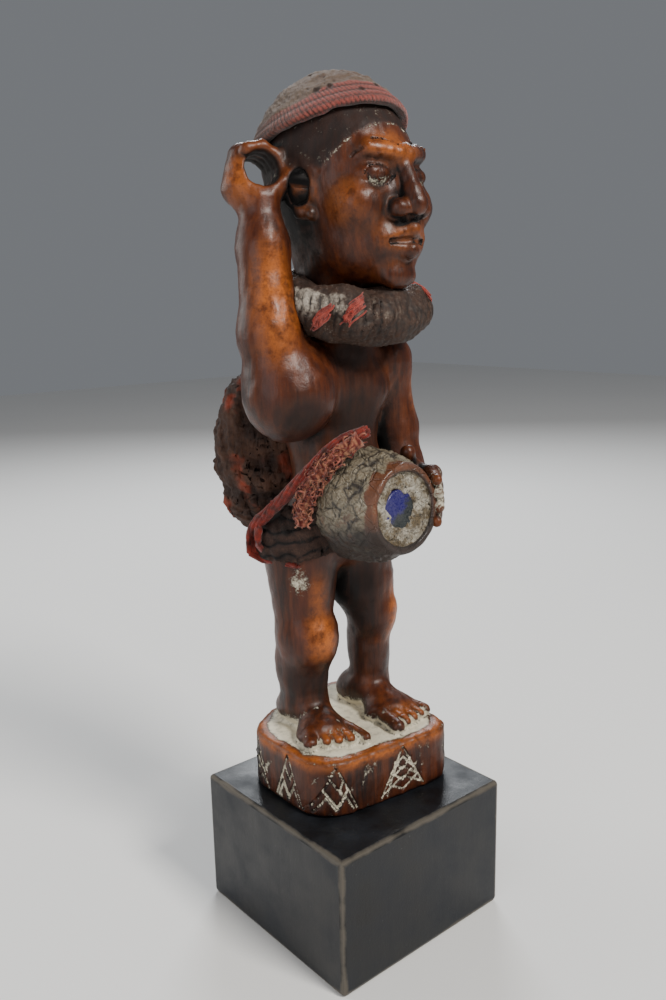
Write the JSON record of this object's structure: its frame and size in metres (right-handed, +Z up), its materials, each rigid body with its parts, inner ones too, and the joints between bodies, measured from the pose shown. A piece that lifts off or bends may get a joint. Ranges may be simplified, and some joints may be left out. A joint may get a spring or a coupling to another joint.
{
  "type": "kongo figure",
  "caption": "Carved standing figure with raised pierced fist, fitted cap, hide neck roll, glass-fronted belly container, back bundle, cloth ties and block mount",
  "frame": {"origin": "centre of the block mount's underside", "axes": "+Z up; the figure faces -Y, so its raised right fist is on the -X side"},
  "size_m": [0.0764, 0.093, 0.2891],
  "materials": {
    "carved_wood": "hand-polished dark red-brown with pale clay in the hollows",
    "knit_cap": "worn knitted cloth, grey-brown crown and faded red band",
    "hide": "dry ribbed hide, pale above and dark below",
    "crusted_wood": "crackled grey crust over polished orange-brown wood, pale pitted packing",
    "blue_glass": "dull dark blue glass, opaque with dust",
    "bundle": "dark matted hide and cloth with red patches",
    "dark_cloth": "stiff dark soiled cloth",
    "red_cloth": "frayed faded red cloth",
    "black_mount": "black satin paint, worn at the edges"
  },
  "bodies": {
    "root": {"figure": "carved_wood", "cap": "knit_cap", "neck_roll": "hide", "belly_container": "crusted_wood", "belly_glass": "blue_glass", "back_pack": "bundle", "hip_wrap": "dark_cloth", "red_tie": "red_cloth", "mount_block": "black_mount"}
  },
  "joints": []
}
